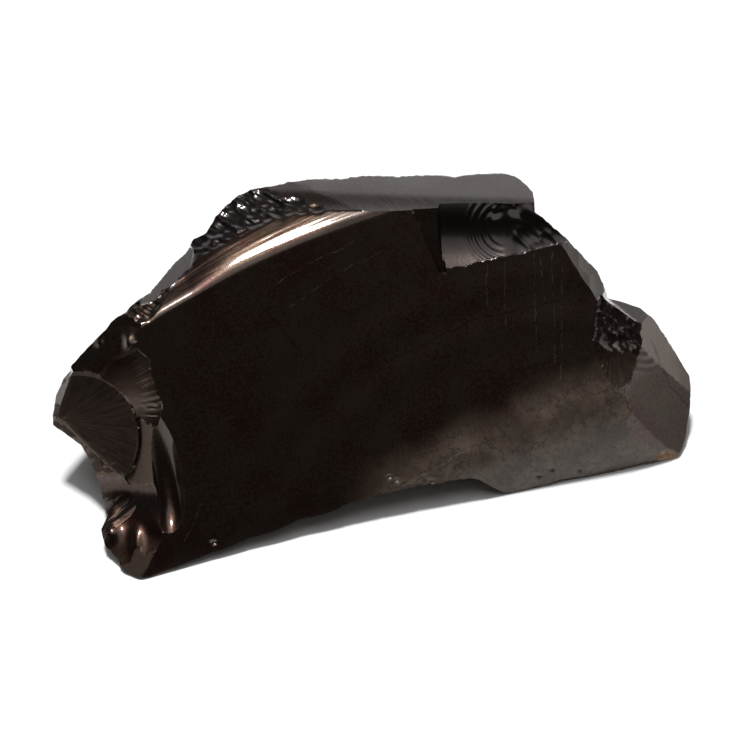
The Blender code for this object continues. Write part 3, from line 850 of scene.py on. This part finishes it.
def masks(points, which):
    """Six numbers between 0 and 1 for each corner, from the flake it is on and its place."""
    r, u = points[:2]
    over, up = lip_distance(r, u), behind_front(r, u)
    along = lip_along(r, u)
    main, top, knobby = on(which, "main_face"), on(which, "top_trough"), on(which, "knob")
    bite, fanned = on(which, "scallop"), on(which, "right_fan")
    shelf = top * (1 - ease(up, 2.4, 3.6))
    # The lip's two ends, where painted shade dims the lamp's line.
    shaded_lip_ends = main * ease(over, 0, 1) * (0.6 * (1 - ease(along, 6, 13)) + 0.9 * ease(along, 24, 28))
    torn = main * ease(over, 4.6, 6.0)

    wander = 1.2 * soft_noise(r / 6, u / 6, 51) + 0.6 * soft_noise(r / 2, u / 2, 52)
    below = -side(r, u, (1.4, -14.5), (14.8, -6.3)) * 0.5 - side(r, u, (7.7, -9.8), (33.1, -0.4)) * 0.5
    film = ease(below + wander, -3.0, 3.5) * (main + 0.5 * fanned) * ease(r, -6, 4)
    rust = swell(r, u, (42, -11.7), (2.2, 1.1)) * 1.6 + 0.35 * soft_noise(r / 0.7, u / 0.7, 53)

    # Torn and crushed glass is dark for real; on the bite and the top's front shelf the same colour is
    # painted shade, and on the lip's ends it is painted shade that dims the lamp's line.
    crushed_and_shade = torn + 0.5 * on(which, "right_hackle") + 0.9 * bite + 0.4 * shelf + 0.8 * shaded_lip_ends
    # Painted shade: the dark torn colour darkens the knob's hollow.
    crushed_and_shade = crushed_and_shade + 0.8 * knobby * swell(r, u, (-32.5, -17.9), (2.6, 1.5))
    glint, blob = swell(r, u, (-36.8, -21.8), (1.6, 1.6)), 0.8 * swell(r, u, (-35.6, -18.8), (1.7, 1.3))
    dull = top * (0.27 + 0.15 * (1 - ease(r, -12, -8)) + 0.18 * ease(r, 5, 13))
    dull = dull + 0.35 * shelf + shaded_lip_ends
    dull = dull + 0.6 * knobby * (1 - np.maximum(glint, blob)) + 0.3 * on(which, "right_end")
    dull = dull + bite * (0.3 + 0.3 * ease(13.5 - r, -1, 2))
    dull = dull + 0.4 * on(which, "crescent", "right_tip") + 0.6 * on(which, "low_left", "long_slope")
    small = 0.4 * on(which, "crescent", "lens", "right_fan", "low_left")
    ribbed = 0.88 * main * ease(over, 0.8, 1.8) * (1 - torn)
    striped = 0.12 + 0.7 * on(which, "fan") + small + 0.8 * shelf + ribbed
    matt = 0.8 * on(which, "fan", "tip")
    matt = matt + 0.4 * on(which, "low_left", "crescent", "long_slope", "right_tip")
    return {
        "film": film, "rust": ease(rust, 0.75, 1.1) * ease(-u, 8, 10), "matt": matt,
        "crushed_and_shade": np.clip(crushed_and_shade, 0, 1), "dull": np.clip(dull, 0, 1),
        "striped": np.clip(striped, 0, 1),
    }


for name, value in masks(skin, which).items():
    mesh.attributes.new(name, "FLOAT", "POINT").data.foreach_set("value", value.astype(np.float32))
    print(name, "covers", round(100 * float(value.mean()), 1), "% of the corners")

# %% [markdown]
# Fine stripes need a direction, and a plain wave texture would run the same way everywhere. So
# three more numbers at each corner give it: a count of lines across the stripes, the way along
# them, and a number that gives each small flake its own noise. The lines run out from the blow on
# the fans, along the lip, slanted on the top and upright elsewhere. A last attribute keeps each
# corner's place in the face frame, for the scratches, the cracks and the painted ridge highlight.

# %% Stripe directions
RAYS = [("fan", FAN_BLOW, 24), ("crescent", SCAR_BLOW, 40), ("right_fan", HOLLOW, 20)]


def stripes(points, which):
    """Lines counted across the stripes, the place along them, and a number for the flake's noise."""
    r, u = points[:2]
    along = lip_along(r, u)
    flow = np.array([r * 2.2 + 0.3 * u, u / 4, which * 7.0])
    for name, centre, fine in RAYS:
        dr, du = r - centre[0], u - centre[1]
        round_it = np.array([np.arctan2(dr, -du) * fine, np.hypot(dr, du) / 3, 0 * r])
        flow = np.where(on(which, name) > 0, round_it, flow)
    up, over = behind_front(r, u), lip_distance(r, u)
    flow = np.where(on(which, "top_trough") > 0, [(r + 0.9 * up) * 3.0, up / 2, 0 * r], flow)
    by_lip = (on(which, "main_face") > 0) & (over > 0)
    return np.where(by_lip, [over * 3.4 / (0.72 + along / 50), along / 6, 0 * r], flow)


for name, value in (("stripes", stripes(skin, which)), ("place", skin)):
    layer = mesh.attributes.new(name, "FLOAT_VECTOR", "POINT")
    layer.data.foreach_set("vector", value.T.astype(np.float32).ravel())
    print(name, "runs from", value.min(axis=1).round(1), "to", value.max(axis=1).round(1))

# %% [markdown]
# ## The material
#
# Polished carbon glass reflects twice: a sharp clear reflection from its very surface, and a broad,
# dim, bronze one from just under it. A clear coat over a dark rough metal does both. Colour changes
# over the surface, so it comes from noise that reads the stone's own coordinates. First a few helpers
# that add a node and wire it up.

# %% Node helpers
def node(tree, kind, **values):
    """Adds a node; each value goes into the socket of that name or, if there is none, the setting."""
    made = tree.nodes.new(kind)
    for name, value in values.items():
        if name in made.inputs:
            made.inputs[name].default_value = value
        else:
            setattr(made, name, value)
    return made


def noise(tree, where, scale, detail=3.0, rough=0.55):
    """Blender's noise at the given place, mostly between 0.3 and 0.7."""
    made = node(tree, "ShaderNodeTexNoise", Scale=scale, Detail=detail, Roughness=rough)
    tree.links.new(where, made.inputs["Vector"])
    return made.outputs["Fac"]


def ramp(tree, value, low, high, to_low=0.0, to_high=1.0):
    """to_low below low, to_high above high, and a smooth step between."""
    made = node(tree, "ShaderNodeMapRange", interpolation_type="SMOOTHSTEP")
    made.inputs["From Min"].default_value, made.inputs["From Max"].default_value = low, high
    made.inputs["To Min"].default_value, made.inputs["To Max"].default_value = to_low, to_high
    tree.links.new(value, made.inputs["Value"])
    return made.outputs["Result"]


def math(tree, operation, *values):
    """One step of arithmetic on numbers and sockets."""
    made = node(tree, "ShaderNodeMath", operation=operation)
    for n, value in enumerate(values):
        if isinstance(value, (int, float)):
            made.inputs[n].default_value = value
        else:
            tree.links.new(value, made.inputs[n])
    return made.outputs[0]


def mix_colour(tree, amount, first, second):
    """The first colour at 0 and the second at 1; each may be a colour or a socket."""
    made = node(tree, "ShaderNodeMix", data_type="RGBA")
    for socket, value in ((made.inputs[0], amount), (made.inputs[6], first), (made.inputs[7], second)):
        if isinstance(value, (float, tuple)):
            socket.default_value = value
        else:
            tree.links.new(value, socket)
    return made.outputs[2]


def one_less(tree, value):
    """1 - value."""
    return math(tree, "SUBTRACT", 1.0, value)


print("six helpers: node, noise, ramp, math, mix_colour, one_less")

# %% [markdown]
# The dark metal's colour is mottled: wine red patches in a brown ground, with grains of olive and
# black. Where a thin film covers the glass it is no longer metallic, but a soft brown with pale
# clouds and fine dark cracks.

# %% Colours
WINE, OLIVE = (0.042, 0.016, 0.013, 1), (0.050, 0.035, 0.024, 1)
FILM_DARK, FILM_PALE = (0.046, 0.031, 0.021, 1), (0.090, 0.065, 0.046, 1)
FILM_CRACK = (0.022, 0.015, 0.012, 1)
# The torn colour is also painted shade in the knob's hollow, the bite, the top's front shelf and the
# lip's ends; the pale scratch colour also paints one ridge highlight.
MATT, TORN_AND_SHADE, SCRATCH_AND_HIGHLIGHT = (0.150, 0.105, 0.082, 1), (0.022, 0.018, 0.017, 1), (0.20, 0.18, 0.17, 1)
RUST_DARK, RUST_PALE = (0.16, 0.08, 0.04, 1), (0.30, 0.19, 0.12, 1)


def mottled(tree, where):
    """Olive brown grains in wine red; where a coarse noise is low the red closes into patches."""
    patches = noise(tree, where, 150, 5, 0.65)
    grains = math(tree, "ADD", noise(tree, where, 2600, 3), math(tree, "MULTIPLY", patches, 0.9))
    return mix_colour(tree, ramp(tree, grains, 0.78, 1.06), WINE, OLIVE)


def filmed(tree, where):
    """A satin brown with pale clouds, dark specks, and cracks where a noise is near its middle."""
    clouds = ramp(tree, noise(tree, where, 260, 6, 0.65), 0.36, 0.64)
    soft = mix_colour(tree, clouds, FILM_DARK, FILM_PALE)
    specks = ramp(tree, noise(tree, where, 1500, 4, 0.7), 0.38, 0.46, 0.6, 0.0)
    soft = mix_colour(tree, specks, soft, FILM_CRACK)
    cracks = math(tree, "ABSOLUTE", math(tree, "SUBTRACT", noise(tree, where, 330, 5, 0.6), 0.5))
    return mix_colour(tree, ramp(tree, cracks, 0.0, 0.022), FILM_CRACK, soft)


print("the film's clouds are", round(FILM_PALE[0] / FILM_DARK[0], 1), "times as light as its ground")

# %% [markdown]
# A few long scratches and cracks are too thin for the mesh, and a painted image would blur them.
# One of the pale lines is no scratch but a painted highlight: the light line along a ridge right
# of the knob, which the mesh doesn't have.
# Each is a straight line in the face frame: the group below projects a place onto the line from A
# to B, stops at its ends, and is 1 where the distance left is small. One group serves all the
# lines, each with its own A and B.

# %% Scratches, cracks and a painted ridge highlight
PALE_LINES = [
    ((-14.2, 12.5), (-8.3, 16)), ((-8.3, 16), (-3.1, 18.6)), ((-11.7, 9.6), (-4.9, 14.6)),
    ((-4.9, 14.6), (1, 17.6)), ((15.8, 15.6), (15.9, 9.7)), ((18.3, 15.9), (18.6, 6.3)),
    ((22.5, 17.3), (22.9, 3.2)), ((23.5, 16.7), (23.9, 10.5)), ((25, 17.3), (25.5, 1.3)),
    # ((-24.2, -18), (-26.4, -23.2)) is no scratch: it is a painted highlight along a ridge right of the
    # knob.
    ((26.7, 15), (26.3, -0.4)), ((-24.2, -18), (-26.4, -23.2)), ((0.7, -17.6), (13.4, -10.3)),
]
DARK_LINES = [
    ((39.8, 5), (42.4, -1.4)), ((42.4, -1.4), (45.3, -4.3)), ((-12.5, 27.6), (-7, 26.1)),
    ((26, 10.5), (13.4, 7.5)), ((13.4, 7.5), (1.4, 1.8)), ((28.1, 3.2), (20.4, 0.4)),
    ((-16.5, 10.5), (-10.5, 3.2)),
]


def streak_group():
    """The node group `streak`: Amount is 1 near the line from A to B, and 0 beyond Width."""
    group = bpy.data.node_groups.new("streak", "ShaderNodeTree")
    for name in ("Place", "A", "B"):
        group.interface.new_socket(name, in_out="INPUT", socket_type="NodeSocketVector")
    group.interface.new_socket("Width", in_out="INPUT", socket_type="NodeSocketFloat")
    group.interface.new_socket("Amount", in_out="OUTPUT", socket_type="NodeSocketFloat")
    given, result = node(group, "NodeGroupInput"), node(group, "NodeGroupOutput")

    def vector(operation, *values, out=0):
        """One step of vector arithmetic; a number comes out of output 1."""
        made = node(group, "ShaderNodeVectorMath", operation=operation)
        for n, value in enumerate(values):
            group.links.new(value, made.inputs[3 if (operation, n) == ("SCALE", 1) else n])
        return made.outputs[out]

    run = vector("SUBTRACT", given.outputs["B"], given.outputs["A"])
    gone = vector("SUBTRACT", given.outputs["Place"], given.outputs["A"])
    length_squared = vector("DOT_PRODUCT", run, run, out=1)
    part = math(group, "DIVIDE", vector("DOT_PRODUCT", gone, run, out=1), length_squared)
    part = math(group, "MINIMUM", math(group, "MAXIMUM", part, 0.0), 1.0)
    gap = vector("LENGTH", vector("SUBTRACT", gone, vector("SCALE", run, part)), out=1)
    near = math(group, "DIVIDE", gap, given.outputs["Width"])
    group.links.new(ramp(group, near, 0.4, 1.0, 1.0, 0.0), result.inputs["Amount"])
    return group


def lines(tree, group, place, ends, width):
    """The largest Amount over all the given lines."""
    most = None
    for a, b in ends:
        made = node(tree, "ShaderNodeGroup", node_tree=group)
        made.inputs["A"].default_value, made.inputs["B"].default_value = (*a, 0.0), (*b, 0.0)
        made.inputs["Width"].default_value = width
        tree.links.new(place, made.inputs["Place"])
        most = made.outputs[0] if most is None else math(tree, "MAXIMUM", most, made.outputs[0])
    return most


print(len(PALE_LINES), "scratches and", len(DARK_LINES), "cracks")

# %% [markdown]
# The material reads the mesh's attributes by name. Its marks are laid where a slightly wavering
# copy of the place is near a line, so that none is quite straight, and noise breaks the pale lines,
# the scratches and the painted ridge highlight, up along their length.

# %% Marks
PALE_REACH, CRACK_REACH = 0.10, 0.15  # mm from the line to where it fades out


def attributes(tree):
    """One socket for each of the mesh's attributes, by name."""
    read = {}
    for name in ("film", "rust", "crushed_and_shade", "matt", "dull", "striped"):
        read[name] = node(tree, "ShaderNodeAttribute", attribute_name=name).outputs["Fac"]
    for name in ("stripes", "place"):
        read[name] = node(tree, "ShaderNodeAttribute", attribute_name=name).outputs["Vector"]
    return read


def flat_place(tree, place):
    """The face frame's (r, u, 0), moved by 1.4 (n - 0.5) mm, where n is a noise near 0.5."""
    waver = node(tree, "ShaderNodeTexNoise", Scale=0.35, Detail=4.0)
    tree.links.new(place, waver.inputs["Vector"])
    moved = node(tree, "ShaderNodeVectorMath", operation="MULTIPLY_ADD")
    tree.links.new(waver.outputs["Color"], moved.inputs[0])
    moved.inputs[1].default_value = (1.4, 1.4, 0)
    tree.links.new(place, moved.inputs[2])
    flat = node(tree, "ShaderNodeVectorMath", operation="MULTIPLY_ADD")
    tree.links.new(moved.outputs[0], flat.inputs[0])
    flat.inputs[1].default_value, flat.inputs[2].default_value = (1, 1, 0), (-0.7, -0.7, 0)
    return flat.outputs[0]


def pale_and_dark_lines(tree, read):
    """How strong the pale lines and the dark cracks are: up to 0.5 and up to 0.55.
    The pale lines are scratches and one painted ridge highlight.
    """
    group, place = streak_group(), flat_place(tree, read["place"])
    gaps = ramp(tree, noise(tree, read["place"], 0.9, 4, 0.7), 0.42, 0.62, 0.0, 0.5)
    pale = math(tree, "MULTIPLY", lines(tree, group, place, PALE_LINES, PALE_REACH), gaps)
    dark = math(tree, "MULTIPLY", lines(tree, group, place, DARK_LINES, CRACK_REACH), 0.55)
    return pale, dark


print("scratches are", 2 * PALE_REACH, "mm wide, cracks", 2 * CRACK_REACH, "mm, with soft edges")

# %% [markdown]
# Now everything meets in one shader. Layers of separate shaders could be mixed, but then each would
# need its own gloss and bump. Here the colours are laid one over the other, and the coat, which is
# the clear reflection, gets thinner wherever something makes the surface dull.

# %% The stone's material
def stone_colour(tree, read, where, stripe, pale, dark):
    """Glass, and over it what is matt, torn or painted shade, filmed or rusty,
    the stripes, scratches, one painted ridge highlight and cracks.
    """
    colour = mix_colour(tree, read["matt"], mottled(tree, where), MATT)
    colour = mix_colour(tree, read["crushed_and_shade"], colour, TORN_AND_SHADE)
    colour = mix_colour(tree, read["film"], colour, filmed(tree, where))
    rusty = mix_colour(tree, ramp(tree, noise(tree, where, 700), 0.4, 0.6), RUST_DARK, RUST_PALE)
    colour = mix_colour(tree, read["rust"], colour, rusty)
    colour = mix_colour(tree, math(tree, "MULTIPLY", stripe, 0.55), colour, FILM_CRACK)
    return mix_colour(tree, dark, mix_colour(tree, pale, colour, SCRATCH_AND_HIGHLIGHT), FILM_CRACK)


def metal_and_coat(tree, read, stripe, marks):
    """Film and rust take metal and coat away; each dull thing takes its share of the coat left."""
    bare = one_less(tree, read["rust"])
    clear = one_less(tree, math(tree, "MULTIPLY", read["film"], 0.9))
    coat = math(tree, "SUBTRACT", clear, math(tree, "MULTIPLY", read["matt"], 0.4))
    for cover in (read["dull"], math(tree, "MULTIPLY", stripe, 0.85), marks):
        coat = math(tree, "MULTIPLY", coat, one_less(tree, cover))
    return math(tree, "MULTIPLY", bare, clear), math(tree, "MULTIPLY", bare, coat)


def stone_roughness(tree, read):
    """0.34 + 0.1 film + 0.4 rust."""
    rough = math(tree, "ADD", 0.34, math(tree, "MULTIPLY", read["film"], 0.1))
    return math(tree, "ADD", rough, math(tree, "MULTIPLY", read["rust"], 0.4))


def stone_material():
    """A dark rough metal under a clear coat, with fine grain and stripes as a bump of 0.05 mm."""
    material = bpy.data.materials.new("glassy_shungite")
    material.use_nodes = True
    tree = material.node_tree
    shader = tree.nodes["Principled BSDF"]
    where = node(tree, "ShaderNodeTexCoord").outputs["Object"]
    read = attributes(tree)
    fibres = ramp(tree, noise(tree, read["stripes"], 1.0, 3, 0.6), 0.36, 0.64)
    stripe = math(tree, "MULTIPLY", read["striped"], fibres)
    pale, dark = pale_and_dark_lines(tree, read)
    metal, coat = metal_and_coat(tree, read, stripe, math(tree, "MAXIMUM", pale, dark))
    bump = node(tree, "ShaderNodeBump", Strength=0.25, Distance=0.00005)
    grain = math(tree, "ADD", noise(tree, where, 2500, 2), math(tree, "MULTIPLY", stripe, 0.8))
    tree.links.new(grain, bump.inputs["Height"])
    made = {
        "Base Color": stone_colour(tree, read, where, stripe, pale, dark),
        "Roughness": stone_roughness(tree, read), "Metallic": metal, "Coat Weight": coat,
        "Normal": bump.outputs["Normal"],
    }
    for name, socket in made.items():
        tree.links.new(socket, shader.inputs[name])
    shader.inputs["Coat Roughness"].default_value = 0.05
    shader.inputs["Coat IOR"].default_value = 1.5
    return material


mesh.materials.append(stone_material())
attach(stone, "root")
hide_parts("shungite_stone")
print("the material has", len(mesh.materials[0].node_tree.nodes), "nodes")

# %% [markdown]
# ## Floor, light and camera
#
# A glossy dark thing is only as good as what it reflects. A small backdrop would show its edges in
# the stone, so the floor is a plain white sheet, far wider than the stone.

# %% Floor
FLOOR_WIDTH = 6.0  # metres


def make_floor():
    """A square sheet of matt white."""
    half = FLOOR_WIDTH / 2
    corners = [(-half, -half, 0), (half, -half, 0), (half, half, 0), (-half, half, 0)]
    sheet = bpy.data.meshes.new("floor")
    sheet.from_pydata(corners, [], [(0, 1, 2, 3)])
    paint = bpy.data.materials.new("white_floor")
    paint.use_nodes = True
    shader = paint.node_tree.nodes["Principled BSDF"]
    shader.inputs["Base Color"].default_value = (0.88, 0.88, 0.88, 1)
    shader.inputs["Roughness"].default_value = 0.9
    shader.inputs["Specular IOR Level"].default_value = 0.1
    sheet.materials.append(paint)
    floor = bpy.data.objects.new("floor", sheet)
    bpy.context.scene.collection.objects.link(floor)
    return floor


make_floor()
print("floor", FLOOR_WIDTH, "m wide")

# %% [markdown]
# The surroundings are a plain studio: bright near the horizon, dark above that, and softly lit
# overhead. It could be built from lamps and white boards, but a formula for the sky's brightness is
# smooth and has no edges to reflect. One strong soft lamp hangs high, a little behind and to the
# left, and draws the bright line along the lip.

# %% Light and surroundings
def make_world():
    """Bright near the horizon and most of all behind, dark above that, and softly lit overhead."""
    world = bpy.data.worlds.new("studio")
    bpy.context.scene.world = world
    world.use_nodes = True
    tree = world.node_tree
    split = node(tree, "ShaderNodeSeparateXYZ")
    tree.links.new(node(tree, "ShaderNodeTexCoord").outputs["Generated"], split.inputs[0])
    x, y, z = split.outputs
    height = math(tree, "SUBTRACT", z, math(tree, "MULTIPLY", y, 0.20))
    height = math(tree, "SUBTRACT", height, math(tree, "MULTIPLY", x, 0.10))
    behind = ramp(tree, y, 0.0, 1.0, 0.50, 0.75)
    band = math(tree, "MULTIPLY", ramp(tree, height, 0.10, 0.36, 1.0, 0.0), behind)
    above = ramp(tree, z, 0.82, 0.93, 0.03, 1.0)
    tree.nodes["Background"].inputs["Color"].default_value = (1, 1, 1, 1)
    tree.links.new(math(tree, "ADD", band, above), tree.nodes["Background"].inputs["Strength"])


def make_lamp(toward=(-0.09, 0.21, 0.97), strength=3.2, width=9.0):
    """A far lamp in the given direction, as wide as that many degrees of the sky."""
    lamp = bpy.data.lights.new("high_lamp", "SUN")
    lamp.energy, lamp.angle = strength, np.radians(width)
    obj = bpy.data.objects.new("high_lamp", lamp)
    bpy.context.scene.collection.objects.link(obj)
    obj.rotation_euler = Vector(toward).to_track_quat("Z", "Y").to_euler()
    return obj


make_world()
lamp = make_lamp()
bpy.context.scene.view_settings.view_transform = "Standard"
print("lamp strength", lamp.data.energy)

# %% [markdown]
# The camera looks straight at the broad face, from 42 degrees above the floor and about 40 cm away.
# A long lens keeps the near and far ends of the stone in proportion.

# %% Camera
def make_camera(distance=395.6):
    """A long lens on the line through the broad face's middle, square to the face, in mm from it."""
    eye = bpy.data.cameras.new("camera")
    eye.lens, eye.sensor_width = 135, 36
    obj = bpy.data.objects.new("camera", eye)
    bpy.context.scene.collection.objects.link(obj)
    obj.location = (upright((0.0, 0.0, distance)) - MIDDLE) * MM
    obj.rotation_euler = (np.pi / 2 - LEAN, 0, 0)
    bpy.context.scene.camera = obj
    return obj


camera = make_camera()
print("camera at", [round(1000 * v) for v in camera.location], "mm")
